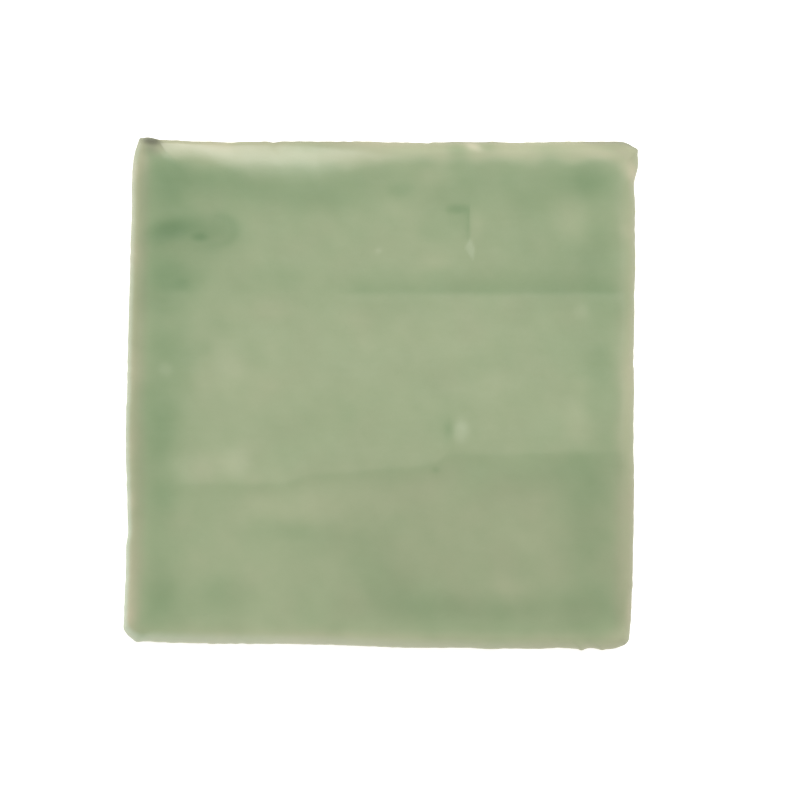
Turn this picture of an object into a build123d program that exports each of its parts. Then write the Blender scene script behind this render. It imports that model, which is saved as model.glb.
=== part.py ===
from build123d import *

# Hand-made square wall tile in glazed earthenware: one pressed and fired slab of clay.
# The slab lies on its flat back with the glazed face up. The origin is on the back face,
# +X runs to the tile's right, +Y to its head, and +Z out of the glazed face. Millimetres.

import os
from math import cos, pi, radians, sin, tan

# Overall sizes of the fired slab, taken where it is widest, just under the rolled edge
width = 100.0  # straight distance between the left and the right side
height = 100.0  # straight distance between the foot and the head side
thickness = 9.6  # back face to the mean level of the glazed face

# Sides and edges
side_draft = 0.9  # how far each side leans in between its widest level and the back
rolled_edge = 2.4  # radius rolled over all round the glazed face
back_bevel = 0.4  # bevelled edge round the back face

# A corner's radius in plan is that of the rolled edge and a little more
crisp_corner = 0.2  # the excess at the head left corner
worn_corner = 1.0  # the excess at the other three

# Each corner's departure from the true square (x, y), and its excess of radius
corners = {
    "foot_left": ((-0.25, 0.35), worn_corner),
    "foot_right": ((0.20, -0.20), worn_corner),
    "head_right": ((0.45, 0.30), worn_corner),
    "head_left": ((0.85, 0.05), crisp_corner),
}

# How far the hand-held cutting wire wandered out of the straight line between two corners:
# each side anticlockwise from its first corner, at steps that close up towards its ends
wander = {
    "foot": (-0.04, -0.14, 0.05, 0.12, -0.14),
    "right": (-0.15, -0.05, -0.26, -0.36, -0.60),
    "head": (-0.06, -0.31, -0.55, -0.72, -0.60),
    "left": (0.20, 0.22, 0.30, -0.30, -0.08),
}

# Long waves that the roller left in the glazed face
wave_height = 0.16  # half of the rise from a trough to a crest
wave_pitch = 68.0  # crest to crest, from foot to head
wave_slant = 0.06  # how far a crest climbs for each millimetre to the right
wave_swell = 0.3  # share by which the waves are higher at the right side and lower at the left
first_trough = 20.0  # a trough's place above the tile's middle
crown = 0.20  # how much the middle of the face stands above its corners

# The face surface is drawn through a grid of points that reaches past the slab
face_samples = 9  # points each way
face_reach = 1.1  # the grid's size as a share of the slab's
face_fit = 0.01  # how closely the surface follows the points
clearance = 1.0  # how far the uncut slab stands above the highest point of the face


def corner_points():
    """The four sharp corners of the hand-cut face outline, anticlockwise from the foot left one."""
    half_x = width / 2
    half_y = height / 2
    square = ((-half_x, -half_y), (half_x, -half_y), (half_x, half_y), (-half_x, half_y))
    moves = [move for move, _ in corners.values()]
    return [Vector(x + dx, y + dy) for (x, y), (dx, dy) in zip(square, moves)]


def towards_middle(coordinate, inset):
    """A corner's coordinate after the outline has moved in by inset."""
    return coordinate - inset if coordinate > 0 else coordinate + inset


def outline(inset, level):
    """The closed outline, moved in by inset and drawn at height level.

    Each side is a spline that leaves its two corner arcs along the straight line between the
    corners, so that arcs and sides meet without a kink.
    """
    sharp = [
        Vector(towards_middle(p.X, inset), towards_middle(p.Y, inset), level) for p in corner_points()
    ]
    radii = [rolled_edge + excess for _, excess in corners.values()]
    along = [(sharp[(i + 1) % 4] - sharp[i]).normalized() for i in range(4)]
    setbacks = []
    for i in range(4):
        turn = radians(along[i - 1].get_angle(along[i]))
        setbacks.append(radii[i] * tan(turn / 2))
    edges = []
    for i, departures in enumerate(wander.values()):
        after = (i + 1) % 4
        start = sharp[i] + along[i] * setbacks[i]
        end = sharp[after] - along[i] * setbacks[after]
        outward = Vector(along[i].Y, -along[i].X, 0)
        between = []
        for n, out in enumerate(departures):
            share = (1 - cos(pi * (n + 1) / (len(departures) + 1))) / 2
            between.append(start + (end - start) * share + outward * out)
        edges.append(Edge.make_spline([start, *between, end], tangents=[along[i], along[i]]))
        next_start = sharp[after] + along[after] * setbacks[after]
        edges.append(Edge.make_tangent_arc(end, along[i], next_start))
    return Wire(edges)


def face_level(x, y):
    """Height of the glazed face: a low crown and the roller's waves."""
    across = x / width
    up = y / height
    dome = crown * (1 / 2 - 2 * (across**2 + up**2))
    phase = 2 * pi * (y - first_trough - wave_slant * x) / wave_pitch
    swell = 1 + wave_swell * sin(pi * across)
    return thickness + dome - wave_height * swell * cos(phase)


def face_surface():
    """The wavy upper surface, drawn a little past the slab on every side."""
    steps = [n / (face_samples - 1) - 1 / 2 for n in range(face_samples)]
    grid = []
    for across in steps:
        x = across * width * face_reach
        column = []
        for up in steps:
            y = up * height * face_reach
            column.append(Vector(x, y, face_level(x, y)))
        grid.append(column)
    return Face.make_surface_from_array_of_points(grid, tol=face_fit)


def tile():
    """The slab: drafted sides, wavy face, rolled face edge and bevelled back."""
    highest = thickness + crown / 2 + wave_height * (1 + wave_swell)
    uncut = highest + clearance
    widest = thickness - rolled_edge
    flare = side_draft * (uncut - widest) / widest
    slab = Solid.make_loft([outline(side_draft, 0), outline(-flare, uncut)], ruled=True)
    above = Solid.extrude(face_surface(), Vector(0, 0, uncut))
    slab = slab - above
    glazed = slab.faces().sort_by(Axis.Z)[-1]
    slab = slab.solid().fillet(rolled_edge, glazed.edges())
    back = slab.faces().sort_by(Axis.Z)[0]
    return slab.chamfer(back_bevel, None, back.edges())


os.makedirs("parts", exist_ok=True)
export_step(tile(), "parts/wall_tile.step")
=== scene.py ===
# %% [markdown]
# # A hand-made wall tile in sage-green glaze
# The real tile is one slab of earthenware, rolled out, cut with a hand-held wire, rolled over
# along its upper edges, glazed on the face and fired. Nothing on it is straight: the sides
# wander, the face is softly waved, and the glaze ran thin on the edges and pooled just inside
# them. That is what makes it look hand-made, so it is what this lesson builds.
#
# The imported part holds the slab's size and main form. One closed mesh stands for it here, with
# the same outline and waves, because the fine relief and the depth of the glaze need far more
# points than a part for fitting and testing should carry.

import bpy
import numpy as np
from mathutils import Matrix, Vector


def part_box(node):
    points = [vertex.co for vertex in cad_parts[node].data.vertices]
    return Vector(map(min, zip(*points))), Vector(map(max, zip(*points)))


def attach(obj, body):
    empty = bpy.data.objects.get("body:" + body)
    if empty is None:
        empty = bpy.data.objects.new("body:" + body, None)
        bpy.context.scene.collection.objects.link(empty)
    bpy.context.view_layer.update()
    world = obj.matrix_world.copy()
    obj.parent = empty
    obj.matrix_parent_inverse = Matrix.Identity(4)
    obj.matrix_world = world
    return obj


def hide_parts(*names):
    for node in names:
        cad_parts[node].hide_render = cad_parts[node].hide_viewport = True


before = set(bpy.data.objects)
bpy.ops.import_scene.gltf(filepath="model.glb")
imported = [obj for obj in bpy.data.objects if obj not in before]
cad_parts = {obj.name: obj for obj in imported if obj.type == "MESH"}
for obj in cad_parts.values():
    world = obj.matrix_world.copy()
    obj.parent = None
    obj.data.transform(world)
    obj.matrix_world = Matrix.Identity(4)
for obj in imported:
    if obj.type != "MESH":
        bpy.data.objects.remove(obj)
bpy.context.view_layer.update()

MM = 0.001  # everything below is worked out in millimetres and put into the mesh in metres
tile_low, tile_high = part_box("wall_tile")
print("packed tile, mm:", [round((b - a) / MM, 2) for a, b in zip(tile_low, tile_high)])

# %% [markdown]
# ## Soft steps and soft chance
# A smooth step is the cheapest way to let one thing turn into another. For chance, a sum of
# plane waves in random directions is better here than a lattice noise: it is smooth to every
# order, so the glaze reflects without facets, and a fixed seed gives the same tile every time.

# %% Helpers for steps, chance and curves
chance = np.random.default_rng(11)
SHORTEST_WAVE, LONGEST_WAVE = 0.65, 1.6  # lengths of the waves in a cloud, as shares of its size


def ease(value, start, end):
    """0 before start, 1 after end, and 3t^2 - 2t^3 between them. start may be above end."""
    t = np.clip((value - start) / (end - start), 0, 1)
    return t * t * (3 - 2 * t)


def clouds(x, y, size, waves=28):
    """Sum of plane waves in random directions, of unit spread, with lengths round about size."""
    heading = chance.uniform(0, 2 * np.pi, waves)
    length = size * chance.uniform(SHORTEST_WAVE, LONGEST_WAVE, waves)
    phase = chance.uniform(0, 2 * np.pi, waves)
    total = np.zeros_like(x)
    for turn, wavelength, lag in zip(heading, length, phase):
        total += np.cos(2 * np.pi * (x * np.cos(turn) + y * np.sin(turn)) / wavelength + lag)
    return total * np.sqrt(2 / waves)


def smooth_through(places, values, at):
    """Cubic curve through (places, values), level at both ends.

    At each place between, it is as steep as the line that joins the place's two neighbours.
    """
    values = np.array(values)
    slopes = np.zeros(len(values))
    slopes[1:-1] = (values[2:] - values[:-2]) / (places[2:] - places[:-2])
    k = np.clip(np.searchsorted(places, at, side="right") - 1, 0, len(places) - 2)
    step = places[k + 1] - places[k]
    u = np.clip((at - places[k]) / step, 0, 1)
    return (
        (1 + 2 * u) * (1 - u) ** 2 * values[k]
        + u * (1 - u) ** 2 * step * slopes[k]
        + u**2 * (3 - 2 * u) * values[k + 1]
        + u**2 * (u - 1) * step * slopes[k + 1]
    )


def span(values):
    """Smallest and largest of the values, for printing."""
    return f"{values.min():.2f} to {values.max():.2f}"


print("a soft step, a quarter of the way along:", ease(0.25, 0, 1))

# %% [markdown]
# ## The outline that the wire cut
# Seen from above, the tile is a 100 mm square whose corners were pulled a little out of place
# and whose sides wander by up to a millimetre. The mesh is a grid of square rings with round
# corners, from the tile's edge inwards to a point. It is chosen over a plain grid, because rows
# of points then run all along the rolled edge, where the form is sharpest.

# %% Sizes of the slab
HALF = 50.0  # half of the tile's nominal side, where it is widest
LEVEL = 9.6  # back face to the mean level of the glazed face
ROLL = 2.4  # radius of the rolled edge
DRAFT = 0.9  # how far a side leans in from its widest level down to the back
BACK_BEVEL = 0.4  # bevelled edge round the back
CRISP, WORN = ROLL + 0.2, ROLL + 1.0  # corner radii in plan

# Anticlockwise from the foot left corner: how far each is out of the true square
CORNER_MOVES = np.array([(-0.25, 0.35), (0.2, -0.2), (0.45, 0.3), (0.85, 0.05)])
CORNER_RADII = np.array([WORN, WORN, WORN, CRISP])

FOOT, RIGHT, HEAD, LEFT = range(4)
WANDER = {
    FOOT: (-0.04, -0.14, 0.05, 0.12, -0.14),
    RIGHT: (-0.15, -0.05, -0.26, -0.36, -0.6),
    HEAD: (-0.06, -0.31, -0.55, -0.72, -0.6),
    LEFT: (0.2, 0.22, 0.3, -0.3, -0.08),
}
print("furthest that a side wanders, mm:", max(abs(out) for row in WANDER.values() for out in row))

# %% Small accidents of the cut
# By side: place along it from its first corner, half width, and how far out in hundredths
NICKS = {
    FOOT: (
        (0.3, 1.3, -20), (2.8, 1, 12), (4.4, 2, -12), (17, 9, 22), (26, 7, 8), (51, 8, 9),
        (57, 6, 18), (71, 3, 10), (72.4, 1.4, 12), (80, 5, 7), (85.5, 2, -10), (90.2, 0.5, 36),
        (90.5, 2.4, 8), (92, 0.8, -12), (94.2, 0.6, 30), (95.6, 1.2, 10), (98.2, 1.6, -34),
    ),
    RIGHT: (
        (3, 2.6, -26), (13, 3, 14), (25, 14, 20), (31, 3, 8), (36, 2, 10), (51, 7, 14),
        (57.5, 2.4, -12), (69.4, 2.2, -12), (77, 13, 18), (87, 2.5, 12), (91.6, 1.5, -14),
        (95.2, 2.3, 56), (98.7, 0.8, 42),
    ),
    HEAD: (
        (1.8, 1.5, -12), (14, 2, 6), (23.5, 4.5, -12), (28.6, 1.6, 14), (36, 2, 10),
        (41.6, 0.7, -12), (43.5, 2.4, -10), (50, 1.5, -7), (54.5, 4, 14), (61, 3, 5), (68, 8, 17),
        (72.3, 0.8, -17), (81.3, 1.6, -16), (91.6, 1.6, 10), (93.6, 0.9, 10), (96.8, 1.6, 26),
        (99.1, 0.6, 30),
    ),
    LEFT: (
        (1.8, 1.7, -48), (5, 1.4, -10), (15, 3, -12), (52, 4, -12), (53.5, 2, 15), (59.5, 7, 26),
        (64, 2.4, 12), (69.5, 2.2, 12), (77.6, 2, -20), (81.4, 1.4, 12), (97.3, 1, 12),
    ),
}

RAGGED = 0.022  # spread of the fine raggedness left by the grog under the wire
RAGGED_WAVES = 40
FEWEST_ROUND, MOST_ROUND = 24, 190  # whole waves round the outline, each 17 to 2 mm long
ragged_times = chance.integers(FEWEST_ROUND, MOST_ROUND, RAGGED_WAVES)
ragged_lag = chance.uniform(0, 2 * np.pi, RAGGED_WAVES)
print("accidents of the cut:", sum(len(rows) for rows in NICKS.values()))

# %% The outline as a function of the place along it
WANDER_GONE, WANDER_FULL = 34.0, 1.0  # insets between which the long departures set in
NICKS_GONE, NICKS_FULL = 4.0, 0.2  # and the short ones


def ring_place(side, q, inset):
    """Place and outward direction at q (-1 to 1) along a side of the square moved in by inset.

    The ring runs straight up to its corner's arc, whose radius shrinks with the inset, and then
    turns by even angles up to the diagonal.
    """
    half = HALF - inset
    corner = (side + (q > 0)) % 4
    radius = np.clip(CORNER_RADII[corner] - inset, 0, half)
    straight = half - radius
    reach = np.abs(q) * half
    turn = np.clip((reach - straight) / np.maximum(radius, 1e-9), 0, 1) * np.pi / 4
    tangent = np.sign(q) * (np.minimum(reach, straight) + radius * np.sin(turn))
    normal = straight + radius * np.cos(turn)
    along = np.stack([np.cos(side * np.pi / 2), np.sin(side * np.pi / 2)], -1)
    out = np.stack([np.sin(side * np.pi / 2), -np.cos(side * np.pi / 2)], -1)
    place = tangent[..., None] * along + normal[..., None] * out
    lean = np.sign(q) * np.sin(turn)
    return place, np.cos(turn)[..., None] * out + lean[..., None] * along


def raggedness(share):
    """Sum of sines that each fit a whole number of times round the outline."""
    total = np.zeros_like(share)
    for times, lag in zip(ragged_times, ragged_lag):
        total += np.sin(np.pi / 2 * times * share + lag)
    return total * np.sqrt(2 / len(ragged_times)) * RAGGED


def cut_wander(side, q):
    """How far the wire strayed outwards at q along a side, in long curves."""
    total = np.zeros_like(q)
    along = (q + 1) / 2
    for name, values in WANDER.items():
        places = (1 - np.cos(np.linspace(0, np.pi, len(values) + 2))) / 2
        total += np.where(side == name, smooth_through(places, (0, *values, 0), along), 0)
    return total


def nicks(side, q):
    """How far the short accidents of the cut stand out, and the fine raggedness.

    Each accident is out * exp(-(gap / half width)^2), with its gap measured round the outline.
    """
    share = side + (q + 1) / 2
    total = raggedness(share)
    for name, rows in NICKS.items():
        for place, half_width, out in rows:
            gap = (share - name - place / (2 * HALF) + 2) % 4 - 2
            total += out / 100 * np.exp(-((gap * 2 * HALF / half_width) ** 2))
    return total


def hand_cut(side, q, inset):
    """The ring at inset with the corners pulled out of square and the sides wandering.

    The long departures fade away towards the middle of the tile and the short ones near the edge.
    """
    place, out = ring_place(side, q, inset)
    along = ((q + 1) / 2)[..., None]
    move = (1 - along) * CORNER_MOVES[side % 4] + along * CORNER_MOVES[(side + 1) % 4]
    long_fade = ease(inset, WANDER_GONE, WANDER_FULL)[..., None]
    short_fade = ease(inset, NICKS_GONE, NICKS_FULL)[..., None]
    wander = cut_wander(side, q)[..., None]
    return place + long_fade * (move + out * wander) + short_fade * out * nicks(side, q)[..., None]


def by_side(share, values, soft=0.04):
    """Value along each side, foot, right, head and left: one number, or an even change in a pair.

    Between two sides the value changes over the corner.
    """
    ends = [(n + soft, n + 1 - soft) for n in range(4)]
    pairs = [np.broadcast_to(value, 2) for value in values]
    return np.interp(share, np.ravel(ends), np.ravel(pairs), period=4)


foot_right = hand_cut(np.array([FOOT]), np.array([1.0]), np.array([0.0]))
print("the foot right corner is cut to, mm:", foot_right.round(2))

# %% [markdown]
# ## Rings over the face and round the rolled edge
# Each point's two grid numbers tell its ring and its side. The outer ten rings go round the
# rolled edge by even angles, so they crowd together where it is steepest.
#
# Along the head, left of the middle, the damp edge was pressed down. There the face slopes over
# a band 4 to 8 mm wide and the roll is tight. The band sets in gently at the middle and stops
# sharply 4 mm short of the left corner, where the chip is.

# %% The pressed stretch of the head
TIGHT_ROLL = 0.7  # radius of the roll in the pressed stretch
SETS_IN = (0.44, 0.58)  # shares of the head, from its right corner, over which the roll tightens
STOPS = (0.963, 0.953)  # and over which it widens again

# Place along the head from its right corner, slope at the edge, width of the slope, and width
# of the rim where the glaze is so thin that it fired dry
PRESSED = (
    (0, 0.12, 5.2, 2.1), (12, 0.12, 5, 2.1), (30, 0.09, 4.6, 2.1), (42, 0.09, 4.8, 2.1),
    (50, 0.16, 5, 1.5), (58, 0.28, 6.1, 0.9), (64, 0.39, 7.8, 0.5), (71, 0.37, 8.2, 0.3),
    (78, 0.3, 8.2, 0.2), (81.5, 0.29, 6.8, 0.15), (86, 0.3, 4.4, 0.15), (89, 0.3, 3.9, 0.15),
    (93, 0.3, 4.5, 0.15), (95.3, 0.3, 5, 0.15), (96.1, 0.05, 3.2, 1.9), (100, 0.05, 3, 1.9),
)
head_places, head_slopes, head_widths, head_dry = np.array(PRESSED).T


def pressed_part(share):
    """1 along the pressed stretch of the head, 0 elsewhere."""
    return ease(share - HEAD, *SETS_IN) * ease(share - HEAD, *STOPS)


def by_pressed(along, values, elsewhere):
    """Value from PRESSED at that many mm along the head, and the other value off the head."""
    on_head = (along >= 0) & (along <= 2 * HALF)
    return np.where(on_head, np.interp(along, head_places, values), elsewhere)


print("steepest slope of the pressed stretch, degrees:", np.degrees(np.arctan(head_slopes.max())).round())

# %% Lay out the grid
FACE_RINGS = 122
ROLL_RINGS = 10
RINGS = FACE_RINGS + ROLL_RINGS

steps = np.arange(-RINGS, RINGS + 1)
grid_x, grid_y = np.meshgrid(steps, steps, indexing="ij")
ring = np.maximum(np.abs(grid_x), np.abs(grid_y))
on_side = [grid_x == ring, grid_y == ring, grid_x == -ring]
side = np.select(on_side, [RIGHT, HEAD, LEFT], FOOT)
q = np.select(on_side, [grid_y, -grid_x, -grid_y], grid_x) / np.maximum(ring, 1)
share = side + (q + 1) / 2

side_lean = np.arctan(DRAFT / (LEVEL - ROLL))
roll = ROLL + (TIGHT_ROLL - ROLL) * pressed_part(share)
roll_turn = np.clip((ring - FACE_RINGS) / ROLL_RINGS, 0, 1) * (np.pi / 2 + side_lean)
face_inset = HALF - (HALF - roll) * np.clip(ring / FACE_RINGS, 0, 1)
inset = np.where(ring <= FACE_RINGS, face_inset, roll * (1 - np.sin(roll_turn)))
x, y = np.moveaxis(hand_cut(side, q, inset), -1, 0)
print("points on the face:", x.size, "across, mm:", round(float(x.max() - x.min()), 2))

# %% [markdown]
# ## Relief of the face
# The roller left long waves, a groove across the tile nearly a third of the way down, and a long
# low crest below the middle. A grain of grog made the pimple right of the middle, and a fold of
# clay made the small step near the head, with a kite-shaped flake at its foot.
#
# All of it is a height over x and y, so it is written as one sum. A sculpted mesh could show the
# same, but a sum of named bumps can be read, checked and moved. The glaze uses the same three
# shapes again: a round bump, a long ridge and a patch with corners.

# %% Bumps, ridges and patches
def bump(x, y, centre, half_size, turn=0.0, edge=2.0):
    """1 at the centre, falling off over half_size each way, turned anticlockwise by turn degrees.

    It is exp(-r^edge), with r the distance in half sizes, so a larger edge has a flatter top.
    """
    dx, dy = x - centre[0], y - centre[1]
    c, s = np.cos(np.radians(turn)), np.sin(np.radians(turn))
    r = np.hypot((dx * c + dy * s) / half_size[0], (dy * c - dx * s) / half_size[1])
    return np.exp(-(r**edge))


def spots(x, y, rows, edge=2.0):
    """Sum of bumps. A row has x, y, half size each way, strength in hundredths and maybe a turn."""
    total = np.zeros_like(x)
    for across, up, half_across, half_up, strength, *turn in rows:
        one = bump(x, y, (across, up), (half_across, half_up), *turn, edge=edge)
        total += strength / 100 * one
    return total


def ridge(distance, widths, edge):
    """1 along a line, and exp(-(distance / width)^edge) off it, with a width for each side.

    The first width is that of the side where the distance is above 0.
    """
    return np.exp(-np.abs(distance / np.where(distance > 0, *widths)) ** edge)


def within(x, y, corners, soft=0.3):
    """1 inside the corners, listed anticlockwise, and 0 outside, with a soft step between."""
    inside = 1
    for (ax, ay), (bx, by) in zip(corners, corners[1:] + corners[:1]):
        distance = ((bx - ax) * (y - ay) - (by - ay) * (x - ax)) / np.hypot(bx - ax, by - ay)
        inside = inside * ease(distance, -soft, soft)
    return inside


print("a bump, one half size from its centre:", bump(1, 0, (0, 0), (1, 1)).round(3))

# %% Waves of the roller
WAVE_HEIGHT, WAVE_PITCH, WAVE_SLANT, WAVE_SWELL = 0.16, 68.0, 0.06, 0.3
FIRST_TROUGH = 20.0
CROWN = 0.2


def waved_level(x, y):
    """Mean level, plus a crown that is a parabola, plus waves, a cosine that swells rightwards."""
    across, up = x / (2 * HALF), y / (2 * HALF)
    dome = CROWN * (0.5 - 2 * (across**2 + up**2))
    phase = 2 * np.pi * (y - FIRST_TROUGH - WAVE_SLANT * x) / WAVE_PITCH
    return LEVEL + dome - WAVE_HEIGHT * (1 + WAVE_SWELL * np.sin(np.pi * across)) * np.cos(phase)


long_waves = waved_level(x, y)
print("crown and long waves, mm:", span(long_waves))

# %% Groove, crest and small forms
GROOVE_DEPTH, GROOVE_WIDTHS = 0.05, (2.4, 1.3)  # over its line and under it
GROOVE_AT, GROOVE_CLIMB = 20.2, 0.008
CREST_HEIGHT, CREST_WIDTHS = 0.08, (5.0, 1.5)
CREST_AT_LEFT = -18.5  # height on the tile of the crest's left end

# Each step up of the crest's line: from, to and by how much
CREST_STEPS = (
    (-28, -20, 0.2), (-19.5, -13, 1.9), (-13, 6, 1.5), (6, 10.6, 0.8), (10.6, 13.8, 2), (18, 44, 0.6),
)

# Rows of spots, whose strength is how high they stand, in hundredths of a millimetre
PIMPLE = (15.8, -7.9, 1.6, 2.2, 18)
DIMPLE = (13.7, -7.1, 1, 1.9, -5)  # left of the pimple
FOLD = (15, 34, 2.4, 3.4, -6)
FOLD_STEP = (17.4, 16.9)  # x at which the fold's right side rises to the face
SMEAR = ((-33, 31.8, 4.2, 3, 4), (-41.4, 31.8, 4.4, 1.6, -5, 12))
FLAKE = ((17.5, 30.7), (16.4, 28.8), (18.1, 26.3), (18.4, 28.5))  # a kite-shaped flake of glaze
FLAKE_HEIGHT = 0.04
ROLLED = ((16, 0.024), (6, 0.008), (2.3, 0.0025))  # size of the clay's unevenness and its spread


def groove_line(x):
    """Height on the tile of the groove, which climbs a little to the right."""
    return GROOVE_AT + GROOVE_CLIMB * x


def crest_line(x):
    """Height on the tile of the crest: level at the left, then up in soft steps."""
    return CREST_AT_LEFT + sum(rise * ease(x, start, end) for start, end, rise in CREST_STEPS)


groove = -GROOVE_DEPTH * ridge(y - groove_line(x), GROOVE_WIDTHS, 1.6)
groove *= 0.2 * ease(x, -40, -30) + 0.8 * ease(x, -10, -4)
crest = CREST_HEIGHT * ridge(y - crest_line(x), CREST_WIDTHS, 1.5)
crest *= ease(x, -45, -38) * ease(x, 48, 40)
pimple = spots(x, y, [PIMPLE], edge=2.6) + spots(x, y, [DIMPLE])
fold = spots(x, y, [FOLD], edge=3) * ease(x, *FOLD_STEP)
flake = FLAKE_HEIGHT * within(x, y, FLAKE)
rolled = sum(spread * clouds(x, y, size) for size, spread in ROLLED)
relief = groove + crest + pimple + fold + flake + spots(x, y, SMEAR) + rolled
print("small relief, mm:", span(relief))

# %% Slope down to the edges
# Along the foot, right, head and left; the head's follow from PRESSED
EDGE_SLOPE = (0.07, 0.08, 0, 0.07)
SLOPE_WIDTH = (3.6, 3.8, 4.6, 3.2)


def shoulder(share, inset):
    """How far the face drops by its slope s at the edge: s * w / 2 * (1 - inset / w)^2.

    Here w is the slope's width. A place along the head runs inwards half-way between square to
    the edge and along the diagonal.
    """
    along = HALF + (2 * (share - HEAD) - 1) * (HALF - inset / 2)
    slope = np.maximum(by_side(share, EDGE_SLOPE), by_pressed(along, head_slopes, 0))
    width = by_pressed(along, head_widths, by_side(share, SLOPE_WIDTH))
    return slope * width / 2 * np.clip(1 - inset / width, 0, 1) ** 2


z = long_waves + relief - shoulder(share, inset) - roll * (1 - np.cos(roll_turn))
print("height of the face, mm:", span(z[ring <= FACE_RINGS]))

# %% [markdown]
# ## Sides and back
# Below the rolled edge the sides lean in to the back. Glaze ran down them unevenly, in a thin
# coat with a slight bead where it stopped, and below that line the bare clay shows the drag
# marks of the wire. The back is flat, because the tile is bonded by it.
#
# The sides are the outermost ring carried down in rows. Level rows would cut the wavy glaze line
# into stairs, so the rows follow the line instead. The back needs far fewer points, so fans of
# triangles join the fine ring round it to a grid with a sixth of the rings.

# %% Where the glaze stops on the sides
BORDER = 8 * RINGS

border_side = np.repeat(np.arange(4), 2 * RINGS)
border_q = np.tile(np.arange(2 * RINGS) / RINGS - 1, 4)
border_share = border_side + (border_q + 1) / 2

GLAZE_STOP, LOWEST_STOP, HIGHEST_STOP = 3.3, 0.7, 5.5  # mm above the floor
STOP_DRIFT = ((17, 0.55), (5, 0.22))  # size of the line's rises and falls, and their spread

# Runs of glaze: side, place along it, half width, and how far they hang below the rest
RUNS = (
    (FOOT, 63, 2.6, 1.5), (RIGHT, 22, 2, 1.1), (RIGHT, 71, 3, 1.2), (HEAD, 44, 2.4, 1.4),
    (LEFT, 31, 2.2, 1.3),
)


def round_trip(size):
    """Soft random line round the outline, whose ends meet: clouds read along a circle."""
    turn = border_share * np.pi / 2
    circle = 4 * HALF / np.pi
    return clouds(circle * np.cos(turn), circle * np.sin(turn), size)


glaze_stop = GLAZE_STOP + sum(spread * round_trip(size) for size, spread in STOP_DRIFT)
for name, along, half_width, hang in RUNS:
    gap_to_run = (border_share - name) * 2 * HALF - along
    glaze_stop -= hang * np.exp(-((gap_to_run / half_width) ** 2))
glaze_stop = np.clip(glaze_stop, LOWEST_STOP, HIGHEST_STOP)
print("glaze stops at, mm:", span(glaze_stop))

# %% Carry the edge down the sides
GLAZED_ROWS, BARE_ROWS = 7, 6
LINE_HALF = 0.15  # half of the step from glaze to bare clay

# The grid's outermost points, anticlockwise from the foot left corner
run = np.arange(2 * RINGS)
far = np.full(2 * RINGS, 2 * RINGS)
border_i = np.concatenate([run, far, 2 * RINGS - run, 0 * run])
border_j = np.concatenate([0 * run, run, far, 2 * RINGS - run])
edge_z = z[border_i, border_j]
edge_inset = inset[border_i, border_j]

# Rows down to just above the glaze line, and from just below it on to the bevel
glazed_rows = np.linspace(0, 1, GLAZED_ROWS + 1)[1:, None]
bare_rows = np.linspace(0, 1, BARE_ROWS)[:, None]
glazed_z = edge_z + (glaze_stop + LINE_HALF - edge_z) * glazed_rows
bare_z = glaze_stop - LINE_HALF + (BACK_BEVEL - glaze_stop + LINE_HALF) * bare_rows
side_z = np.concatenate([glazed_z, bare_z])
side_inset = edge_inset + (edge_z - side_z) * np.tan(side_lean)
print("rows down the side:", len(side_z), "of", BORDER, "points")

# %% Coat, bead and drag marks
COAT = 0.05  # how thick the glaze lies on the sides
BEAD, BEAD_ABOVE, BEAD_HALF = 0.07, 0.35, 0.5  # thickness, height above the line, half width
FINE_DRAG, FINE_SIZE, FINE_STRETCH = 0.025, 1.6, 6  # spread, height, and length in heights
BROAD_DRAG, BROAD_SIZE = 0.03, 7
CORNER_CALM = 0.93  # q from which the drag marks fade towards the corner
UNDER_ROLL, OVER_BEVEL = 1.2, 0.8  # over which all of it fades out at the top and the foot

bead = BEAD * np.exp(-(((side_z - glaze_stop - BEAD_ABOVE) / BEAD_HALF) ** 2))
coat = COAT * ease(side_z, glaze_stop - LINE_HALF, glaze_stop + LINE_HALF)
travel = border_share[None, :] * 2 * HALF + 0 * side_z
drag = FINE_DRAG * clouds(travel / FINE_STRETCH, side_z, FINE_SIZE)
drag += BROAD_DRAG * clouds(travel, side_z, BROAD_SIZE)
drag *= ease(np.abs(border_q), 1.0, CORNER_CALM)
below_roll = ease(side_z, edge_z, edge_z - UNDER_ROLL)
grown = (bead + coat + drag) * below_roll * ease(side_z, BACK_BEVEL, BACK_BEVEL + OVER_BEVEL)
print("the sides stand out by, mm:", span(grown))

# %% Bevel, and one flat ring on the back
BEVEL_LEVELS = np.array([0.16, 0.04, 0.0, 0.0])[:, None]
BEVEL_INSETS = np.array([0.17, 0.33, 0.45, 1.4])[:, None]

skirt_z = np.concatenate([side_z, BEVEL_LEVELS + 0 * edge_z])
skirt_inset = np.concatenate([side_inset - grown, side_inset[-1] + BEVEL_INSETS])
skirt_side = np.broadcast_to(border_side, skirt_z.shape)
skirt_q = np.broadcast_to(border_q, skirt_z.shape)
skirt_place = hand_cut(skirt_side, skirt_q, skirt_inset)
print("rows in all:", len(skirt_z))

# %% The coarse grid of the back
BACK_STEP = 6  # one point of the back to six round the edge
BACK_RINGS = RINGS // BACK_STEP
BACK_INSET = 3.6  # how far inside the tile's side the grid ends

back_steps = np.arange(-BACK_RINGS, BACK_RINGS + 1)
back_i, back_j = np.meshgrid(back_steps, back_steps, indexing="ij")
back_half = (HALF - BACK_INSET) / BACK_RINGS  # mm from one ring to the next
print("points on the back:", back_i.size)

# %% [markdown]
# ## One closed mesh
# Only the numbering needs care. Face points come first, then the rows of the sides from the top
# down, then the back. All faces are wound anticlockwise as seen from outside, to point outwards.

# %% Quads and triangles between numbered points
def grid_quads(numbers):
    """Quads over a grid of point numbers, anticlockwise where rows go right and columns up."""
    corners = numbers[:-1, :-1], numbers[1:, :-1], numbers[1:, 1:], numbers[:-1, 1:]
    return np.stack([c.ravel() for c in corners], -1)


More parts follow.
